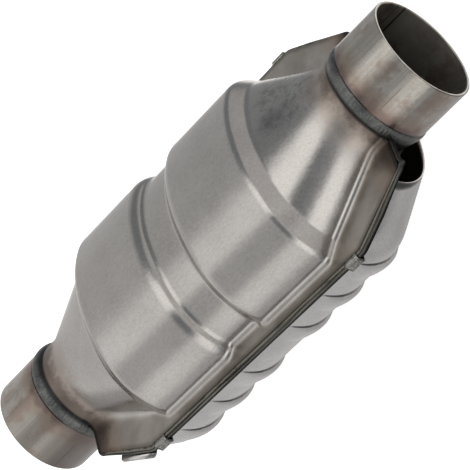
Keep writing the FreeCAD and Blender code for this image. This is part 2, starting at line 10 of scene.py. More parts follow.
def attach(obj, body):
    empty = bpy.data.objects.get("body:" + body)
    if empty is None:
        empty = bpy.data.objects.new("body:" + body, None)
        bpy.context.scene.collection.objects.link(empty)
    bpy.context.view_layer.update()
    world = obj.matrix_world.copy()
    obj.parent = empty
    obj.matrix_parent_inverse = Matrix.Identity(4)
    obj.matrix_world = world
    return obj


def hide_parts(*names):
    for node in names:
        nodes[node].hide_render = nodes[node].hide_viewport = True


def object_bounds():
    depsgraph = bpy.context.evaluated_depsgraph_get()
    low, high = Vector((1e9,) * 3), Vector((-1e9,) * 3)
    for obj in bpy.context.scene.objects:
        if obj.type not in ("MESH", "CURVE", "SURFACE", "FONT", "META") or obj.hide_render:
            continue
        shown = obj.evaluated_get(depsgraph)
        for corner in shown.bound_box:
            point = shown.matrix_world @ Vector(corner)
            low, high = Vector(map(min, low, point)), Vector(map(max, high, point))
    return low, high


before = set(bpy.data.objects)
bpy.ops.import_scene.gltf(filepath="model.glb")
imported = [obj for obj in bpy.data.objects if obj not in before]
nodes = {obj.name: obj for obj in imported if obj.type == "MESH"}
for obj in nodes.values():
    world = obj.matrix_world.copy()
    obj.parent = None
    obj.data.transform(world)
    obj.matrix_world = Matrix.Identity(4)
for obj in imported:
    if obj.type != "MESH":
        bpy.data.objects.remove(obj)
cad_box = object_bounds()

MIDDLE = -0.1643
FLOOR = cad_box[0].z - 0.0002

# From here on, sizes are in millimetres about the middle of the body.
# Shells: the outline's corners from the waist to the neck, their depth under the barrel and their bends
SHEET = 1.5
BARREL_WIDE = 65.0
BARREL_HIGH = 48.0
NECK_R = 30.0
NECK_END = 138.0
OUTLINE_X = (10.3, 14.0, 67.0, 75.0, 115.0)
OUTLINE_DROP = (4.6, 0.0, 0.0, 8.0)
OUTLINE_BEND = (4.0, 8.0, 5.0, 6.0, 14.0)

# An oval has flat crown arcs, of this half angle, and round side arcs that start at the joint
CROWN = math.radians(25)
JOINT = math.pi / 2 - CROWN

# Seam flange: its corners on the left side, the bend up from it, which is wider behind the rear
# barrel, and the hollow at its ends
FLANGE_END = 126.0
FLANGE_EDGE = 72.5
FLANGE_CORNERS = (complex(FLANGE_END, 31.5), complex(FLANGE_END, 49), complex(86, FLANGE_EDGE))
FLANGE_BEND = 4.0
REAR_BEND = 3.5
REAR_FOLD = (80.0, 92.0)
END_HOLLOW = 1.2
HOLLOW_X = (118.0, 120.0, 122.0, 124.0)
QUADS_ACROSS = 9
QUADS_IN_BEND = 8

# Pipes and ring welds, with the webs that reach down to the flange's ends, in degrees round the neck
PIPE_R = 31.75
BORE_R = 30.15
PIPE_START = 132.5
MOUTH = 164.3
BEAD_START = 124.9
BEAD_BULGE = 1.35
WEB_REACH = 9.0
WEB_BELOW = 18.0
WEB_SPREAD = 14.0

# Seam weld: its section from the flange's edge, as (outwards, z), where it thins out, and its burr
SEAM_OUT = 2.5
SEAM_SECTION = ((0, 0.9), (0.5, 1.0), (1.1, 1.0), (1.7, 0.6), (2.2, 0.0), (2.45, -0.8),
                (2.45, -1.6), (2.2, -2.2), (1.2, -2.6), (1.2, -3.6), (0, -3.6))
SEAM_STEP = 0.55
SEAM_THIN = (104.0, 122.0)
BURR_SPOT = (127.5, 46.5)
BURR_R = 2.4

# Heat shield: the trough and its ends, its ribs along the axis, its tabs and its lips
SHIELD_SHEET = 0.9
SHIELD_GAP = 0.3
SHIELD_WIDE = 71.0
SHIELD_HIGH = 55.5
END_BEND = 83.0
END_X = 117.0
SIDE_DROP = 21.5
BOTTOM_DROP = 14.0
RIM_Z = 3.0
FOOT_Z = 57.7
PLAIN_X = (-117.0, -113.0, -109.0, -104.0, -99.0, -94.0, -90.0, -6.0, -3.0, 0.0,
           83.5, 86.0, 90.0, 94.0, 99.0, 104.0, 109.0, 113.0, 117.0)
RIBS = (70.0, 43.5, 17.0, -23.0, -49.5, -76.0)
RIB_HIGH = 3.0
RIB_HALF = (5.5, 8.5)
RIB_INSET = 1.2
RIB_PEAK = 0.35
RIB_MARKS = (-1.25, -1.0, -0.85, -0.7, -0.5, -0.3, -0.1, 0.1, 0.3, 0.5, 0.65, 0.8,
             0.9, 0.96, 1.0, 1.04, 1.1, 1.2)
CREASE = 0.45
CREASE_FROM = (5.5, 8.0)
TAB_SPAN = (74.5, 76.0, 79.0, 82.0, 83.5)
LIP_Z = -4.8
LIP_LENGTH = 30.0
LIP_INWARDS = 6.0
LIP_OUTWARDS = 5.0

# What the metal sees, as (place, red, green, blue) from the outlet's side, 0, to the inlet's, 1.
# The panels shine with a multiple of their tones. Matt light is an even grey.
WALLS = ((0.0, .74, .73, .72), (0.19, .66, .65, .64), (0.28, .49, .49, .49), (0.36, .42, .43, .43),
         (0.45, .27, .28, .29), (0.73, .25, .26, .27), (0.84, .66, .64, .63), (0.945, .66, .64, .63),
         (0.965, .28, .28, .28))
PANEL = ((0.0, .45, .45, .44), (0.27, .5, .495, .485), (0.4, .66, .65, .635), (0.56, .71, .70, .68),
         (0.8, .72, .71, .69), (0.87, .36, .355, .345), (0.945, .36, .355, .345), (0.962, .74, .73, .71))
BELOW = ((0.0, .46, .45, .44), (0.08, .42, .41, .40), (0.16, .72, .71, .71), (0.3, .58, .57, .57),
         (0.45, .46, .45, .45), (0.6, .64, .63, .63), (0.66, .2, .2, .2), (0.74, .06, .06, .06))
PANEL_GAIN = (2.0, 2.0, 2.0, 1.0)
GREY = (0.75, 0.75, 0.75, 1.0)
WHITE = (1.0, 1.0, 1.0, 1.0)


def clamp(value):
    """The value, held between 0 and 1."""
    return min(max(value, 0.0), 1.0)


def between(value, low, high):
    """0 up to low, 1 from high on, and even from one to the other."""
    return clamp((value - low) / (high - low))


def add_camera():
    """The photograph's camera, as fitted to the mouths, the flange and the barrels."""
    right = Vector((0.6201, -0.2313, -0.7496))
    up = Vector((0.6173, 0.7336, 0.2843))
    back = Vector((0.4841, -0.6390, 0.5977))
    data = bpy.data.cameras.new("camera")
    data.sensor_width = 36.0
    data.lens = 161.03
    data.clip_end = 20.0
    camera = bpy.data.objects.new("camera", data)
    turn = Matrix((right, up, back)).transposed().to_4x4()
    spot = Vector((0.55929 + MIDDLE, -0.72210, 0.67536))
    camera.matrix_world = Matrix.Translation(spot) @ turn
    bpy.context.scene.collection.objects.link(camera)
    bpy.context.scene.camera = camera


class Nodes:
    """Short calls for building one node tree."""

    def __init__(self, tree):
        self.tree = tree
        self.tree.nodes.clear()

    def add(self, kind, **settings):
        """A new node with these properties."""
        node = self.tree.nodes.new(kind)
        for key, value in settings.items():
            setattr(node, key, value)
        return node

    def link(self, source, target):
        self.tree.links.new(source, target)

    def feed(self, socket, value):
        """Links another node's output, or sets a plain value."""
        if hasattr(value, "is_output"):
            self.link(value, socket)
        else:
            socket.default_value = value

    def math(self, operation, first, second=0.0, third=0.0):
        """A math node's result; each operand is a value or another node's output."""
        node = self.add("ShaderNodeMath", operation=operation)
        for socket, value in zip(node.inputs, (first, second, third)):
            self.feed(socket, value)
        return node.outputs[0]

    def times(self, first, second):
        return self.math("MULTIPLY", first, second)

    def plus(self, base, value, amount):
        """The base with an amount of another value added."""
        return self.math("MULTIPLY_ADD", value, amount, base)

    def rise(self, value, low, high):
        """0 below low and 1 above high, with a smooth step between; the other way round if low > high."""
        node = self.add("ShaderNodeMapRange", interpolation_type="SMOOTHSTEP")
        self.feed(node.inputs["Value"], value)
        turned = low > high
        node.inputs["From Min"].default_value = min(low, high)
        node.inputs["From Max"].default_value = max(low, high)
        node.inputs["To Min"].default_value = 1.0 if turned else 0.0
        node.inputs["To Max"].default_value = 0.0 if turned else 1.0
        return node.outputs["Result"]

    def band(self, value, low, high, soft):
        """1 between low and high, with soft edges."""
        return self.times(self.rise(value, low - soft, low + soft), self.rise(value, high + soft, high - soft))

    def ramp(self, value, *stops):
        """A curve through stops, each a position with one height or with red, green and blue."""
        node = self.add("ShaderNodeValToRGB")
        elements = node.color_ramp.elements
        while len(elements) < len(stops):
            elements.new(0.5)
        for element, (position, *shade) in zip(elements, stops):
            element.position = position
            element.color = (*(shade * 3)[:3], 1.0)
        self.feed(node.inputs[0], value)
        return node.outputs[0]

    def mix(self, amount, first, second, blend="MIX"):
        """The first colour at amount 0 and the second at amount 1."""
        node = self.add("ShaderNodeMix", data_type="RGBA", blend_type=blend)
        self.feed(node.inputs[0], amount)
        self.feed(node.inputs[6], first)
        self.feed(node.inputs[7], second)
        return node.outputs[2]

    def tint(self, base, mask, amount, shade):
        """The base colour, turned towards a shade by an amount where the mask is 1."""
        return self.mix(self.times(mask, amount), base, shade)

    def turn(self, y, z):
        """Degrees round the axis from straight up, positive on the camera's side."""
        return self.times(self.math("ARCTAN2", self.times(y, -1.0), z), 180 / math.pi)


class Finish(Nodes):
    """A material with a metal or matt shader and the object's own coordinates in millimetres."""

    def __init__(self, name, metal=1.0):
        self.material = bpy.data.materials.new(name)
        self.material.use_nodes = True
        super().__init__(self.material.node_tree)
        output = self.add("ShaderNodeOutputMaterial")
        self.shader = self.add("ShaderNodeBsdfPrincipled")
        self.link(self.shader.outputs[0], output.inputs[0])
        self.shader.inputs["Metallic"].default_value = metal
        centred = self.add("ShaderNodeVectorMath", operation="SUBTRACT")
        self.link(self.add("ShaderNodeTexCoord").outputs["Object"], centred.inputs[0])
        centred.inputs[1].default_value = (MIDDLE, 0, 0)
        scaled = self.add("ShaderNodeVectorMath", operation="SCALE")
        self.link(centred.outputs[0], scaled.inputs[0])
        scaled.inputs["Scale"].default_value = 1000.0
        self.place = scaled.outputs[0]
        split = self.add("ShaderNodeSeparateXYZ")
        self.link(self.place, split.inputs[0])
        self.x, self.y, self.z = split.outputs
        self.far_x, self.far_y, self.far_z = (self.math("ABSOLUTE", value) for value in split.outputs)
        square = self.plus(self.times(self.y, self.y), self.z, self.z)
        self.radius = self.math("SQRT", square)

    def noise(self, scale, detail, roughness, stretch=None):
        """Noise with this many grains per millimetre, each axis multiplied by the stretch."""
        place = self.place
        if stretch:
            mapping = self.add("ShaderNodeMapping")
            mapping.inputs["Scale"].default_value = stretch
            self.link(place, mapping.inputs["Vector"])
            place = mapping.outputs[0]
        node = self.add("ShaderNodeTexNoise")
        node.inputs["Scale"].default_value = scale
        node.inputs["Detail"].default_value = detail
        node.inputs["Roughness"].default_value = roughness
        self.link(place, node.inputs["Vector"])
        return node.outputs["Fac"]

    def finish(self, base, rough, height, depth):
        """Connects colour, roughness and relief; the depth of the relief is in millimetres."""
        self.feed(self.shader.inputs["Base Color"], base)
        self.feed(self.shader.inputs["Roughness"], rough)
        relief = self.add("ShaderNodeBump")
        relief.inputs["Strength"].default_value = 1.0
        relief.inputs["Distance"].default_value = depth / 1000
        self.link(height, relief.inputs["Height"])
        self.link(relief.outputs[0], self.shader.inputs["Normal"])
        return self.material


def colour(red, green, blue):
    """An sRGB colour given as 0 to 255, as linear values."""
    def linear(value):
        value = value / 255
        return value / 12.92 if value <= 0.04045 else ((value + 0.055) / 1.055) ** 2.4
    return (linear(red), linear(green), linear(blue), 1.0)


def body_finish():
    """Satin stainless sheet: mottled, with soft marks, painted shade on the front cone, browned flanges and
    heat tint at the necks.
    """
    kit = Finish("body_steel")
    cloud = kit.noise(0.03, 4.0, 0.6)
    mottle = kit.noise(0.7, 4.0, 0.75)
    grain = kit.noise(1.0, 3.0, 0.7, stretch=(0.3, 1.6, 1.6))
    base = kit.mix(kit.ramp(cloud, (0.3, 0.0), (0.7, 1.0)), colour(168, 165, 162), colour(186, 183, 180))
    base = kit.mix(kit.ramp(mottle, (0.3, 0.0), (0.75, 0.5)), base, colour(206, 203, 200))
    base = kit.mix(kit.ramp(grain, (0.25, 0.3), (0.5, 0.0)), base, colour(132, 129, 126))

    # Scuffs on the front cone, and painted shade on its top, darkest by the shoulder
    scuff = kit.noise(0.24, 5.0, 0.75)
    cone = kit.times(kit.rise(kit.x, 76.0, 86.0), kit.rise(kit.y, -10.0, 0.0))
    base = kit.tint(base, kit.times(kit.rise(scuff, 0.54, 0.36), cone), 0.5, colour(120, 119, 119))
    shadow = kit.times(kit.band(kit.y, -3.0, 8.0, 6.0), kit.rise(kit.x, 106.0, 86.0))
    base = kit.tint(base, shadow, kit.times(cone, 0.55), colour(112, 113, 116))

    # Worn scale on the flange, darker towards its straight and slanted edges
    plate = kit.rise(kit.far_z, 2.6, 1.6)
    stain = kit.noise(0.06, 3.0, 0.6)
    worn = kit.mix(kit.rise(stain, 0.3, 0.7), colour(150, 144, 136), colour(174, 169, 163))
    slant = kit.plus(kit.plus(106.08, kit.far_y, -0.8623), kit.far_x, -0.5066)
    rim = kit.math("MINIMUM", kit.math("SUBTRACT", FLANGE_EDGE, kit.far_y), slant)
    worn = kit.tint(worn, kit.rise(rim, 3.2, 0.2), 0.75, colour(92, 86, 76))
    base = kit.tint(base, plate, 0.85, worn)

    # Heat tint towards the ring welds, which reaches further at the rear
    uneven = kit.math("SUBTRACT", kit.noise(0.12, 4.0, 0.65), 0.5)
    near_weld = kit.plus(kit.far_x, uneven, 22.0)
    near_weld = kit.plus(near_weld, kit.rise(kit.x, -90.0, -105.0), 4.0)
    base = kit.tint(base, kit.rise(near_weld, 103.0, 121.0), 0.55, colour(156, 136, 122))
    base = kit.tint(base, kit.rise(near_weld, 116.0, 125.0), 0.7, colour(96, 84, 78))

    # Burnt patches where the flange's ends meet the ring welds, and the welds' dark toes
    off_y = kit.math("ABSOLUTE", kit.math("SUBTRACT", kit.far_y, 38.0))
    off_x = kit.math("ABSOLUTE", kit.math("SUBTRACT", kit.far_x, 125.0))
    burn = kit.math("ADD", kit.math("ADD", off_x, off_y), kit.times(kit.far_z, 1.2))
    burn = kit.plus(burn, uneven, 16.0)
    base = kit.tint(base, kit.rise(burn, 24.0, 7.0), 0.85, colour(78, 68, 62))
    base = kit.tint(base, kit.rise(kit.far_x, 123.4, 124.8), 0.8, colour(52, 52, 54))

    fold = kit.times(kit.rise(kit.x, -78.0, -92.0), kit.rise(kit.far_z, 26.0, 10.0))
    rough = 0.14
    for value, amount in ((mottle, 0.12), (plate, 0.12), (kit.rise(kit.far_x, 100.0, 118.0), 0.2),
                          (kit.times(cone, kit.rise(scuff, 0.44, 0.7)), 0.1), (fold, 0.16)):
        rough = kit.plus(rough, value, amount)
    height = kit.math("ADD", kit.times(grain, 0.2), kit.times(cloud, 6.0))
    return kit.finish(base, rough, height, 0.05)


def pipe_finish():
    """Brushed tube with streaks along the axis, heat tint at the weld, seam lines, a bore painted paler as
    painted light and painted shade on the outlet's lower side.
    """
    kit = Finish("pipe_steel")
    streak = kit.noise(1.0, 4.0, 0.65, stretch=(0.015, 0.8, 0.8))
    broad = kit.noise(1.0, 2.0, 0.5, stretch=(0.004, 0.1, 0.1))
    mottle = kit.noise(0.6, 4.0, 0.7)
    base = kit.mix(kit.ramp(broad, (0.35, 0.0), (0.65, 1.0)), colour(158, 154, 147), colour(192, 189, 182))
    base = kit.mix(kit.ramp(streak, (0.3, 0.4), (0.6, 0.0)), base, colour(134, 127, 120))
    base = kit.mix(kit.ramp(mottle, (0.35, 0.35), (0.55, 0.0)), base, colour(150, 143, 136))

    uneven = kit.math("SUBTRACT", kit.noise(0.12, 4.0, 0.6), 0.5)
    near_weld = kit.plus(kit.far_x, uneven, 14.0)
    base = kit.tint(base, kit.rise(near_weld, 149.0, 136.0), 0.75, colour(142, 124, 112))
    base = kit.tint(base, kit.rise(near_weld, 139.0, 133.5), 0.7, colour(100, 86, 86))
    base = kit.mix(kit.rise(kit.far_x, 133.6, 133.0), base, colour(46, 46, 48))

    # Seam lines of the rolled tubes: near and far outside, then two edges inside
    inside = kit.rise(kit.radius, 31.0, 30.4)
    # Painted light: the bore is tinted paler so that its shaded inside reads brighter
    base = kit.tint(base, inside, 0.5, colour(206, 202, 196))
    turn = kit.turn(kit.y, kit.z)
    for line, reach, amount in ((kit.band(turn, 58.8, 59.3, 0.25), kit.band(kit.x, 136.0, 154.0, 3.0), 0.6),
                                (kit.band(turn, 86.4, 88.0, 0.4), kit.rise(kit.x, -140.0, -143.0), 0.6),
                                (kit.band(turn, -91.0, -88.6, 0.5), inside, 0.8),
                                (kit.band(turn, -81.0, -79.6, 0.5), inside, 0.6)):
        base = kit.tint(base, kit.times(line, reach), amount, colour(58, 50, 46))

    stain = kit.rise(kit.noise(0.07, 3.0, 0.6), 0.48, 0.66)
    base = kit.tint(base, stain, 0.6, colour(142, 122, 112))
    # Painted shade on the outlet pipe's lower side, towards the camera
    painted_shade_side = kit.times(kit.band(turn, 62.0, 138.0, 9.0), kit.rise(kit.x, -100.0, -130.0))
    base = kit.tint(base, painted_shade_side, 0.75, colour(113, 106, 102))
    rough = kit.plus(kit.plus(0.16, streak, 0.12), inside, 0.18)
    height = kit.math("ADD", kit.times(streak, 0.5), kit.times(mottle, 0.2))
    return kit.finish(base, rough, height, 0.04)


def shield_finish():
    """Thin smooth sheet, a little cooler and lighter than the body, with darker folded tabs."""
    kit = Finish("shield_steel")
    cloud = kit.noise(0.04, 4.0, 0.6)
    mottle = kit.noise(0.7, 4.0, 0.7)
    base = kit.mix(kit.ramp(cloud, (0.3, 0.0), (0.7, 1.0)), colour(196, 194, 194), colour(212, 210, 209))
    base = kit.mix(kit.ramp(mottle, (0.3, 0.3), (0.55, 0.0)), base, colour(160, 156, 154))
    tab = kit.times(kit.rise(kit.far_y, 70.6, 71.6), kit.rise(kit.z, -5.6, -5.0))
    scale = kit.noise(0.9, 3.0, 0.7)
    worn = kit.mix(kit.rise(scale, 0.4, 0.62), colour(112, 112, 106), colour(168, 167, 162))
    base = kit.tint(base, tab, 0.9, worn)
    height = kit.math("ADD", kit.times(mottle, 0.2), kit.times(cloud, 6.0))
    return kit.finish(base, kit.plus(0.2, mottle, 0.1), height, 0.05)


def weld_finish():
    """Dark bead metal with small bright specks and a darker toe."""
    kit = Finish("weld_steel")
    speck = kit.noise(1.6, 3.0, 0.6)
    cloud = kit.noise(0.2, 4.0, 0.7)
    base = kit.mix(kit.ramp(cloud, (0.3, 0.0), (0.7, 1.0)), colour(80, 81, 80), colour(120, 122, 120))
    base = kit.mix(kit.ramp(speck, (0.68, 0.0), (0.74, 1.0)), base, colour(214, 214, 212))
    base = kit.tint(base, kit.rise(kit.far_x, 128.0, 125.6), 0.85, colour(44, 44, 46))
    return kit.finish(base, kit.plus(0.24, speck, 0.2), speck, 0.22)


def seam_finish():
    """The weld along the flange: sheet edges as thin lines in dark scale, with its underside painted black as a
    painted shadow gap.
    """
    kit = Finish("seam_steel")
    speck = kit.noise(0.9, 3.0, 0.6)
    dash = kit.noise(1.0, 3.0, 0.6, stretch=(0.12, 0.12, 0.6))
    fine = kit.noise(1.0, 2.0, 0.5, stretch=(0.03, 0.03, 1.7))
    base = kit.mix(kit.ramp(speck, (0.35, 0.0), (0.65, 1.0)), colour(58, 57, 54), colour(94, 93, 89))
    base = kit.tint(base, kit.rise(fine, 0.45, 0.6), 0.65, colour(142, 141, 135))
    base = kit.tint(base, kit.rise(fine, 0.45, 0.33), 0.65, colour(27, 26, 25))
    for low, high, shade in ((0.8, 1.1, colour(138, 133, 124)), (-0.9, -0.6, colour(120, 118, 110)),
                             (-1.45, -1.3, colour(112, 110, 104))):
        base = kit.tint(base, kit.band(kit.z, low, high, 0.12), kit.rise(dash, 0.36, 0.52), shade)
    for low, high in ((0.1, 0.4), (-1.2, -0.95)):
        base = kit.mix(kit.band(kit.z, low, high, 0.1), base, colour(36, 34, 31))
    # Painted shadow: the underside below the flange is painted near black, standing in for the shadow gap
    base = kit.mix(kit.rise(kit.z, -1.1, -1.6), base, colour(10, 10, 9))
    base = kit.tint(base, kit.rise(kit.far_x, 120.0, 126.0), 0.75, colour(70, 70, 70))
    return kit.finish(base, kit.plus(0.42, speck, 0.2), speck, 0.06)


def ceramic_finish():
    """The honeycomb face of a block: fine square cells, their openings painted dark as painted shade of the
    channels.
    """
    kit = Finish("block_ceramic", metal=0.0)
    cell = 1.27
    walls = [kit.rise(kit.math("PINGPONG", side, cell / 2), 0.16, 0.08) for side in (kit.y, kit.z)]
    wall = kit.math("MAXIMUM", *walls)
    # Painted shade: between the cell walls, the openings are painted dark where the channels would be in shade
    base = kit.mix(wall, colour(30, 26, 22), colour(176, 158, 134))
    return kit.finish(base, 0.85, wall, 0.5)


def mat_finish():
    """Matt fibre mat, with fibres along the axis."""
    kit = Finish("fibre_mat", metal=0.0)
    fibre = kit.noise(1.5, 6.0, 0.8, stretch=(0.3, 1.0, 1.0))
    base = kit.mix(fibre, colour(176, 160, 126), colour(224, 212, 184))
    return kit.finish(base, 0.95, fibre, 0.3)


def mesh_finish():
    """Knitted wire mesh: uneven slanting strands."""
    kit = Finish("mesh_steel")
    wave = kit.add("ShaderNodeTexWave", bands_direction="DIAGONAL")
    wave.inputs["Scale"].default_value = 0.8
    wave.inputs["Distortion"].default_value = 3.0
    kit.link(kit.place, wave.inputs["Vector"])
    base = kit.mix(wave.outputs["Fac"], colour(70, 70, 70), colour(150, 150, 150))
    return kit.finish(base, 0.5, wave.outputs["Fac"], 0.3)


def rounded_line(corners, radii, steps=8, guard=0.5):
    """Points along a row of corners, as complex numbers, with rounded bends."""
    points = [corners[0]]
    for before, corner, after, radius in zip(corners, corners[1:], corners[2:], radii):
        first = (corner - before) / abs(corner - before)
        second = (after - corner) / abs(after - corner)
        turn = cmath.phase(second / first)
        entry = corner - first * radius * abs(math.tan(turn / 2))
        centre = entry + 1j * first * math.copysign(radius, turn)
        if abs(entry - points[-1]) > 2 * guard:
            points.append(entry - first * guard)
        points += [centre + (entry - centre) * cmath.exp(1j * turn * step / steps) for step in range(steps + 1)]
        points.append(points[-1] + second * guard)
    points.append(corners[-1])
    return np.array(points)


def parallel(corners, radii, distance):
    """The same corners moved to the right of their direction by a distance, with adjusted bends."""
    ways = [(b - a) / abs(b - a) for a, b in zip(corners, corners[1:])]
    moved = [corners[0] - 1j * ways[0] * distance]
    bends = []
    for first, second, corner, radius in zip(ways, ways[1:], corners[1:], radii):
        turn = cmath.phase(second / first)
        middle = (first + second) / abs(first + second)
        moved.append(corner - 1j * middle * distance / math.cos(turn / 2))
        bends.append(radius + math.copysign(distance, turn))
    moved.append(corners[-1] - 1j * ways[-1] * distance)
    return moved, bends


def mirrored(corners):
    """The corners of the other end of the body, in reverse."""
    return [complex(-corner.real, corner.imag) for corner in reversed(corners)]


def shell_line(barrel, inset):
    """One outline of the shell from end to end, in plan or in elevation, moved in by the inset."""
    drops = OUTLINE_DROP + (barrel - NECK_R,)
    half = [complex(x, barrel - drop) for x, drop in zip(OUTLINE_X, drops)]
    half.append(complex(NECK_END, NECK_R))
    corners = mirrored(half) + half
    bends = OUTLINE_BEND[::-1] + OUTLINE_BEND
    if inset:
        corners, bends = parallel(corners, bends, inset)
    return rounded_line(corners, bends)


def oval_radii(half_width, half_height):
    """Radii of an oval's side arcs and crown arcs."""
    lean = math.tan(CROWN / 2)
    side = (half_height - half_width * lean) / (1 - lean)
    return side, half_height + (half_width - side) / math.tan(CROWN)


def oval(half_width, half_height, angles):
    """Points (y + jz) of an oval at the given angles of its normal, 0 at the left side, pi at the right."""
    side, crown = oval_radii(half_width, half_height)
    points = []
    for angle in angles:
        if JOINT < angle < math.pi - JOINT:
            points.append(1j * (half_height - crown) + crown * cmath.exp(1j * angle))
        else:
            centre = (half_width - side) * (1 if angle <= JOINT else -1)
            points.append(centre + side * cmath.exp(1j * angle))
    return points


def oval_angles(start, on_side=14, on_top=22):
    """Angles of the normals from one side to the other, from a start angle."""
    side = list(np.linspace(start, JOINT, on_side))
    top = list(np.linspace(JOINT, math.pi - JOINT, on_top))[1:-1]
    return side + top + [math.pi - angle for angle in reversed(side)]


def flange_line(steps=8):
    """The flange's edge on the left side from its front end to its rear end."""
    return rounded_line(list(FLANGE_CORNERS) + mirrored(FLANGE_CORNERS), [3, 9, 9, 3], steps)


def add_piece(name, points, faces, material, replaced, angle=30):
    """A mesh piece from points in millimetres about the middle of the body."""
    mesh = bpy.data.meshes.new(name)
    scaled = [(x / 1000 + MIDDLE, y / 1000, z / 1000) for x, y, z in points]
    mesh.from_pydata(scaled, [], faces)
    mesh.validate()
    mesh.shade_smooth()
    mesh.set_sharp_from_angle(angle=math.radians(angle))
    mesh.materials.append(material)
    piece = bpy.data.objects.new(name, mesh)
    bpy.context.scene.collection.objects.link(piece)
    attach(piece, "root")
    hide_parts(*replaced)
    return piece


def strips(rows, count, closed_rows=False, closed_columns=True):
    """Quads between rows of count points each."""
    faces = []
    for row in range(rows if closed_rows else rows - 1):
        here, after = row * count, (row + 1) % rows * count
        for column in range(count if closed_columns else count - 1):
            beside = (column + 1) % count
            faces.append((here + column, after + column, after + beside, here + beside))
    return faces


def bar_faces(rows, count):
    """Faces of a closed section swept along a line, with both ends filled."""
    last = tuple(range((rows - 1) * count, rows * count))
    return strips(rows, count) + [tuple(range(count)), last[::-1]]


def ring_faces(rows, count, sign):
    """Faces of a closed section swept round the axis, at the front end (1) or the rear end (-1)."""
    faces = strips(rows, count, closed_rows=True)
    return [face[::-1] for face in faces] if sign > 0 else faces


def shell_stations(side, crown, edge):
    """Places along the axis and whether the flange is there, with both kinds at the flange's ends."""
    places = {x * sign for x in HOLLOW_X for sign in (1, -1)}
    for line in (side, crown, edge):
        places |= {round(float(x), 3) for x in line.real if abs(x) < NECK_END}
    places = sorted(places | {-NECK_END, NECK_END})
    merged = [places[0]]
    for x in places[1:]:
        if x - merged[-1] > 0.12 or abs(x) in (FLANGE_END, NECK_END):
            merged.append(x)
    stations = []
    for x in merged:
        if abs(abs(x) - FLANGE_END) < 0.02:
            stations += [(x, x > 0), (x, x < 0)]
        else:
            stations.append((x, abs(x) < FLANGE_END))
    return stations


def flange_section(x, rim, wall, bend):
    """The left flange at one station: its edge, its top, hollow near its ends, and the bend up to the wall."""
    foot = wall + bend
    section = [(rim, 0.0), (rim, SHEET)]
    for step in range(1, QUADS_ACROSS):
        section.append((rim + (foot - rim) * (step / QUADS_ACROSS), SHEET))
    for step in range(QUADS_IN_BEND):
        turn = math.pi / 2 * step / QUADS_IN_BEND
        section.append((foot - bend * math.sin(turn), SHEET + bend - bend * math.cos(turn)))
    near_end = between(abs(x), HOLLOW_X[0], FLANGE_END)
    points = []
    for y, z in section:
        part = clamp((y - wall) / max(rim - wall, 1.0))
        hollow = END_HOLLOW * 4 * part * (1 - part) * near_end
        points.append((x - math.copysign(hollow, x), y, z))
    return points


def half_shell():
    """Loops of points of one stamping, station by station along the axis."""
    side, crown = shell_line(BARREL_WIDE, 0), shell_line(BARREL_HIGH, 0)
    side_in, crown_in = shell_line(BARREL_WIDE, SHEET), shell_line(BARREL_HIGH, SHEET)
    edge = flange_line()
    loops = []
    for x, flanged in shell_stations(side, crown, edge):
        bend = FLANGE_BEND + REAR_BEND * between(-x, *REAR_FOLD)
        wide, high = (np.interp(x, line.real, line.imag) for line in (side, crown))
        inner_wide, inner_high = (np.interp(x, line.real, line.imag) for line in (side_in, crown_in))
        start = math.asin((SHEET + bend) / oval_radii(wide, high)[0])
        arch = oval(wide, high, oval_angles(start))
        if flanged:
            rim = float(np.interp(x, edge.real[::-1], edge.imag[::-1]))
            left = flange_section(x, rim, arch[0].real, bend)
        else:
            angles = np.linspace(0, start, QUADS_ACROSS + QUADS_IN_BEND + 1, endpoint=False)
            left = [(x, point.real, point.imag) for point in oval(wide, high, angles)]
        inside = oval(inner_wide, inner_high, oval_angles(0.0))
        loop = left + [(x, point.real, point.imag) for point in arch]
        loop += [(px, -py, pz) for px, py, pz in reversed(left)]
        loop += [(x, point.real, point.imag) for point in reversed(inside)]
        loops.append(loop)
    return loops


def add_shells(material):
    """The upper stamping, and the same one turned over as the lower."""
    loops = half_shell()
    faces = bar_faces(len(loops), len(loops[0]))
    points = [point for loop in loops for point in loop]
    add_piece("upper_stamping", points, faces, material, ["upper_shell"])
    turned = [(x, -y, -z) for x, y, z in points]
    add_piece("lower_stamping", turned, faces, material, ["lower_shell"])


def even_steps(line, spacing):
    """The same line resampled at even steps, and how far along it each point is."""
    run = np.concatenate(([0], np.cumsum(np.abs(np.diff(line)))))
    keep = np.concatenate(([True], np.diff(run) > 1e-6))
    line, run = line[keep], run[keep]
    count = int(run[-1] / spacing) + 1
    marks = np.linspace(0, run[-1], count)
    return np.interp(marks, run, line.real) + 1j * np.interp(marks, run, line.imag), marks


def add_seam_welds(material):
    """Beads swept along the flange edges: rippled, uneven, thinner at the ends, one with a burr."""
    line, marks = even_steps(flange_line(16), SEAM_STEP)
    ways = np.gradient(line)
    outward = -1j * ways / np.abs(ways)
    outward = outward * np.sign((outward * np.conj(line)).real)
    points = []
    for spot, way, mark in zip(line, outward, marks):
        ripple = 0.04 * math.sin(mark * 2 * math.pi / 2.6 + 0.8 * math.sin(mark * 0.31))
        slow = 0.15 * math.sin(mark * 0.11) + 0.1 * math.sin(mark * 0.27 + 1.0)
        ended = between(abs(spot.real), *SEAM_THIN)
        for step, (out, z) in enumerate(SEAM_SECTION):
            if 1 < step < 8:
                out = out + ripple * (0.6 if step < 3 else 1.0) + slow * 0.5 - 0.1
            out *= 1 - 0.4 * ended
            z = min(z, 0.0) * (1 - 0.35 * ended) + max(z, 0.0)
            place = spot + way * out
            points.append((place.real, place.imag, z))
    faces = bar_faces(len(line), len(SEAM_SECTION))
    add_piece("left_seam_bead", points, faces, material, ["seam_weld_left"], angle=50)
    other = []
    for x, y, z in points:
        burr = max(0.0, 1 - math.dist((x, y), BURR_SPOT) / BURR_R)
        other.append((x + 1.6 * burr, -y - 1.2 * burr, z - 0.6 * burr))
    turned = [face[::-1] for face in faces]
    add_piece("right_seam_bead", other, turned, material, ["seam_weld_right"], angle=50)


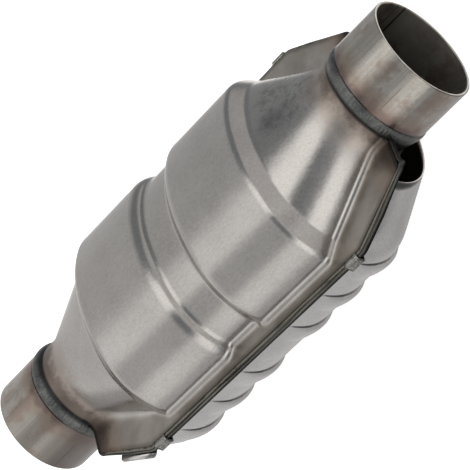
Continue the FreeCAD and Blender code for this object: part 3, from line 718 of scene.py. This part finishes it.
def add_ring_weld(name, sign, material, replaced):
    """A bead round the neck with faint crescent waves, an uneven toe and webs to the flange's ends."""
    around = 560
    across = 16
    end = PIPE_START + 0.15
    points = []
    for step in range(around):
        angle = 2 * math.pi * step / around
        uneven = 0.12 * math.sin(5 * angle + 1) + 0.1 * math.sin(11 * angle)
        above = math.degrees(math.atan2(math.sin(angle), abs(math.cos(angle))))
        web = math.exp(-((above + WEB_BELOW) / WEB_SPREAD) ** 2)
        for row in range(across + 1):
            part = row / across
            u = 2 * part - 1
            x = BEAD_START + (end - BEAD_START) * part
            low = NECK_R + (PIPE_R - 0.1 - NECK_R) * part
            swell = (1 - u * u) ** 0.8
            wave = math.sin(88 * angle + 2.4 * u * u + 0.9 * math.sin(7 * angle) + 0.6 * math.sin(17 * angle))
            radius = low + swell * (BEAD_BULGE + 0.05 * wave + uneven * 0.5)
            if row == 0:
                x += uneven * 1.5
            x -= WEB_REACH * web * (1 - part) ** 2
            points.append((sign * x, radius * math.cos(angle), radius * math.sin(angle)))
        points.append((sign * PIPE_START, BORE_R * math.cos(angle), BORE_R * math.sin(angle)))
    faces = ring_faces(around, across + 2, sign)
    add_piece(name, points, faces, material, [replaced], angle=60)


def add_pipe(name, sign, material, replaced):
    """A tube with a rounded rim at the mouth."""
    soft = 0.45
    around = 192
    turns = [math.pi / 2 * step / 4 for step in range(5)]
    outline = [(PIPE_START, BORE_R), (PIPE_START, PIPE_R - 0.15), (PIPE_START + 0.15, PIPE_R)]
    outline += [(PIPE_START + 1.0, PIPE_R), (MOUTH - 10.0, PIPE_R), (MOUTH - soft - 0.4, PIPE_R)]
    outline += [(MOUTH - soft + soft * math.sin(turn), PIPE_R - soft + soft * math.cos(turn)) for turn in turns]
    outline += [(MOUTH - soft + soft * math.cos(turn), BORE_R + soft - soft * math.sin(turn)) for turn in turns]
    outline += [(MOUTH - soft - 0.4, BORE_R), (MOUTH - 10.0, BORE_R)]
    points = []
    for step in range(around):
        angle = 2 * math.pi * step / around
        points += [(sign * x, r * math.cos(angle), r * math.sin(angle)) for x, r in outline]
    faces = ring_faces(around, len(outline), sign)
    add_piece(name, points, faces, material, [replaced], angle=40)


def shield_line(half, end_drop):
    """The trough's outline from its middle to one end, in plan or in elevation."""
    corners = [complex(0, half), complex(END_BEND, half), complex(END_X, half - end_drop)]
    return rounded_line(corners, [25], 12)


def rib_crest(angle):
    """How high a rib stands at an angle of the oval: in full at the bottom, fading out in the sides."""
    if angle >= JOINT:
        return RIB_HIGH
    side, crown = oval_radii(SHIELD_WIDE, SHIELD_HIGH)
    crest = crown + RIB_HIGH
    fade = (SHIELD_WIDE - RIB_INSET - crest * math.sin(CROWN)) / (1 - math.sin(CROWN))
    fade_y = (crest - fade) * math.sin(CROWN)
    fade_z = SHIELD_HIGH - crown + (crest - fade) * math.cos(CROWN)
    rise = (fade_y - (SHIELD_WIDE - side)) * math.cos(angle) + fade_z * math.sin(angle) + fade - side
    return max(rise, 0.0)


def rib_lift(mark, height, crease):
    """The sheet's lift across a rib, from -1 to 1: a long slope, a steep one and a crease at its foot."""
    if mark < RIB_PEAK:
        lift = height * max(1 - ((RIB_PEAK - mark) / (1 + RIB_PEAK)) ** 2, 0.0) ** 1.4
    else:
        lift = height * max(1 - ((mark - RIB_PEAK) / (1 - RIB_PEAK)) ** 3, 0.0)
    if 0.9 < mark < 1.1:
        lift -= crease * (1 - abs(mark - 1.0) / 0.1)
    return lift


def trough():
    """Rows of points of the shield's outer surface, from rim to rim round the bottom."""
    side, bottom = shield_line(SHIELD_WIDE, SIDE_DROP), shield_line(SHIELD_HIGH, BOTTOM_DROP)
    start = math.asin(RIM_Z / oval_radii(SHIELD_WIDE, SHIELD_HIGH)[0])
    rows = []
    for angle in oval_angles(start, 26, 26):
        low = min(angle, math.pi - angle)
        reach = RIB_HALF[0] + (RIB_HALF[1] - RIB_HALF[0]) * between(low, start, JOINT) ** 0.7
        height = rib_crest(low)
        crease = CREASE * between(math.degrees(low), *CREASE_FROM)
        columns = [(x, 0.0) for x in PLAIN_X]
        for rib in RIBS:
            columns += [(rib + mark * reach, rib_lift(mark, height, crease)) for mark in RIB_MARKS]
        row = []
        for x, lift in sorted(columns):
            wide = np.interp(abs(x), side.real, side.imag)
            high = np.interp(abs(x), bottom.real, bottom.imag)
            point = oval(wide, high, [angle])[0] + lift * cmath.exp(1j * angle)
            row.append((x, -point.real, -min(max(point.imag, RIM_Z), FOOT_Z)))
        rows.append(row)
    return rows


def tab(mirror_x, mirror_y):
    """A strap folded round the seam weld, from over the flange down to the trough's rim."""
    out = FLANGE_EDGE + SEAM_OUT + SHIELD_GAP + SHIELD_SHEET
    corners = [complex(72.6, 1.9), complex(out - 0.5, 1.3), complex(out, LIP_Z), complex(70.3, LIP_Z)]
    line = rounded_line(corners, [1.1, 1.1], 5, 0.2)
    points = [(x * mirror_x, spot.real * mirror_y, spot.imag) for spot in line for x in TAB_SPAN]
    faces = strips(len(line), len(TAB_SPAN), closed_columns=False)
    return points, [face[::-1] for face in faces] if mirror_x * mirror_y > 0 else faces


def lip(mirror_y):
    """A flat lip under the flange's slanted rear edge."""
    front, rear = complex(-86, FLANGE_EDGE), complex(-FLANGE_END, 49)
    way = (rear - front) / abs(rear - front)
    outward = -1j * way
    begin = front + way * 2.0
    finish = begin + way * LIP_LENGTH
    inner, outer = -outward * LIP_INWARDS, outward * LIP_OUTWARDS
    corners = [begin + inner, begin + outer, finish + outer, finish + inner]
    line = rounded_line(corners, [2.5, 2.5], 6, 0.3)
    face = tuple(range(len(line)))
    return [(spot.real, spot.imag * mirror_y, LIP_Z) for spot in line], [face[::-1] if mirror_y > 0 else face]


def add_shield(material):
    """The ribbed trough with its tabs and lips: an outer surface, thickened inwards."""
    rows = trough()
    points = [point for row in rows for point in row]
    faces = strips(len(rows), len(rows[0]), closed_columns=False)
    extras = [tab(mirror_x, mirror_y) for mirror_x in (1, -1) for mirror_y in (1, -1)]
    extras += [lip(mirror_y) for mirror_y in (1, -1)]
    for more_points, more_faces in extras:
        base = len(points)
        points += more_points
        faces += [tuple(index + base for index in face) for face in more_faces]
    piece = add_piece("ribbed_shield", points, faces, material, ["heat_shield"], angle=24)
    skin = piece.modifiers.new("sheet", "SOLIDIFY")
    skin.thickness = SHIELD_SHEET / 1000
    skin.offset = -1.0
    skin.use_even_offset = False


def dress(names, material):
    """Gives a material to CAD nodes that stay."""
    for name in names:
        mesh = nodes[name].data
        mesh.materials.clear()
        mesh.materials.append(material)


def add_stage():
    """A pale floor that is white to the camera, keeps the object's shadow and isn't seen in the metal."""
    mesh = bpy.data.meshes.new("floor")
    half = 3.0
    corners = [(-half, -half, FLOOR), (half, -half, FLOOR), (half, half, FLOOR), (-half, half, FLOOR)]
    mesh.from_pydata(corners, [], [(0, 1, 2, 3)])
    floor = bpy.data.objects.new("floor", mesh)
    bpy.context.scene.collection.objects.link(floor)
    material = bpy.data.materials.new("floor")
    material.use_nodes = True
    kit = Nodes(material.node_tree)
    output = kit.add("ShaderNodeOutputMaterial")
    cloth = kit.add("ShaderNodeBsdfDiffuse")
    cloth.inputs["Color"].default_value = (0.8, 0.8, 0.8, 1.0)
    glow = kit.add("ShaderNodeEmission")
    path = kit.add("ShaderNodeLightPath")
    kit.link(kit.times(path.outputs["Is Camera Ray"], 0.78), glow.inputs["Strength"])
    both = kit.add("ShaderNodeAddShader")
    kit.link(cloth.outputs[0], both.inputs[0])
    kit.link(glow.outputs[0], both.inputs[1])
    kit.link(both.outputs[0], output.inputs[0])
    mesh.materials.append(material)
    floor.visible_glossy = False


def add_lamp(name, spot, aim, wide, high, watts):
    """A soft rectangular lamp, not seen in the metal."""
    data = bpy.data.lights.new(name, "AREA")
    data.shape = "RECTANGLE"
    data.size = wide
    data.size_y = high
    data.energy = watts
    lamp = bpy.data.objects.new(name, data)
    direction = Vector(aim) - Vector(spot)
    turn = direction.to_track_quat("-Z", "Y").to_matrix().to_4x4()
    lamp.matrix_world = Matrix.Translation(Vector(spot)) @ turn
    lamp.visible_glossy = False
    bpy.context.scene.collection.objects.link(lamp)


def add_world():
    """A studio seen by the metal: bright panels and grey walls round the object, white for the camera."""
    world = bpy.data.worlds.new("studio")
    bpy.context.scene.world = world
    world.use_nodes = True
    kit = Nodes(world.node_tree)
    output = kit.add("ShaderNodeOutputWorld")
    shade = kit.add("ShaderNodeBackground")
    split = kit.add("ShaderNodeSeparateXYZ")
    kit.link(kit.add("ShaderNodeTexCoord").outputs["Generated"], split.inputs[0])
    x, y, z = split.outputs
    around = kit.turn(y, z)
    along = kit.plus(0.5, x, 0.5)

    # The walls' tones lean over behind the object, towards its front half
    behind = kit.math("MINIMUM", kit.math("MAXIMUM", kit.plus(-53.0, around, -1.0), 0.0), 40.0)
    lean = kit.times(kit.times(behind, 0.0051), kit.rise(along, 0.4, 0.5))
    walls = kit.ramp(kit.math("ADD", along, lean), *WALLS)
    panel = kit.mix(1.0, kit.ramp(along, *PANEL), PANEL_GAIN, "MULTIPLY")

    # Three panels: overhead, level with the object on the camera's side, and low behind it
    level = kit.mix(kit.band(around, -14.0, 21.0, 8.0), walls, panel)
    level = kit.mix(kit.band(around, 68.0, 104.0, 8.0), level, panel)
    level = kit.mix(kit.band(around, -136.0, -113.0, 6.0), level, panel)
    under = kit.math("ADD", kit.rise(around, 118.0, 138.0), kit.rise(around, -146.0, -158.0))
    level = kit.mix(under, level, kit.ramp(along, *BELOW))

    path = kit.add("ShaderNodeLightPath")
    level = kit.mix(path.outputs["Is Glossy Ray"], GREY, level)
    level = kit.mix(path.outputs["Is Camera Ray"], level, WHITE)
    kit.link(level, shade.inputs["Color"])
    kit.link(shade.outputs[0], output.inputs[0])


add_camera()
add_stage()
add_world()
add_lamp("overhead", (MIDDLE - 0.3, 0.05, 1.2), (MIDDLE, 0, 0), 2.0, 0.8, 1.6)

body = body_finish()
pipe = pipe_finish()
bead = weld_finish()
add_shells(body)
add_seam_welds(seam_finish())
add_ring_weld("inlet_bead", 1, bead, "inlet_weld")
add_ring_weld("outlet_bead", -1, bead, "outlet_weld")
add_pipe("inlet_tube", 1, pipe, "inlet_pipe")
add_pipe("outlet_tube", -1, pipe, "outlet_pipe")
add_shield(shield_finish())
dress(["front_brick", "rear_brick"], ceramic_finish())
dress(["front_mat", "rear_mat"], mat_finish())
dress([name for name in nodes if name.endswith("_seal")], mesh_finish())
bpy.context.scene.view_settings.view_transform = "Standard"
